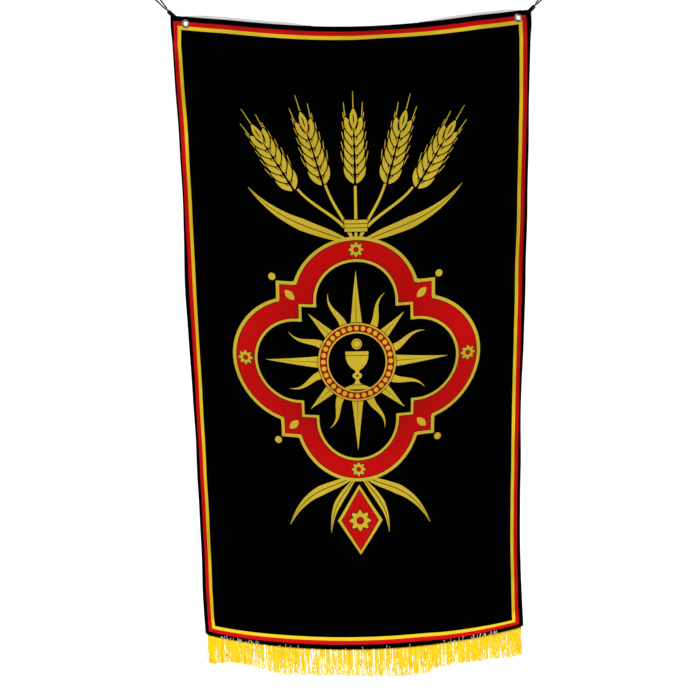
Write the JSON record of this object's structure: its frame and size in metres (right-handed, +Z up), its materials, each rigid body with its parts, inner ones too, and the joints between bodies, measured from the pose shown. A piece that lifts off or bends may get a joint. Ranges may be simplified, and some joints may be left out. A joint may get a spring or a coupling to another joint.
{
  "type": "hanging fringed church banner",
  "caption": "Hanging cloth banner with striped border, eyelets in the heading, fringed hem and corner ribbon tabs with cord loops.",
  "frame": {"origin": "midway between the banner's two top corners, in the plane of their front face, where the corner ties hold it", "axes": "+X to the viewer's right along the top edge, +Z up, the front faces -Y"},
  "size_m": [0.6673, 0.0311, 1.2196],
  "materials": {
    "cloth": "satin printed polyester, black with gold and red print",
    "ribbon": "matt woven ribbon",
    "cord": "twisted cord",
    "nickel": "polished nickel plate",
    "yarn": "shiny twisted rayon yarn, golden yellow"
  },
  "bodies": {
    "root": {"banner_panel": "cloth", "heading": "cloth", "eyelet_left": "nickel", "eyelet_right": "nickel", "corner_tab_left": "ribbon", "corner_tab_right": "ribbon", "tie_knot_left": "cord", "tie_knot_right": "cord", "tie_cord_left": "cord", "tie_cord_right": "cord", "fringe": "yarn"}
  },
  "joints": []
}
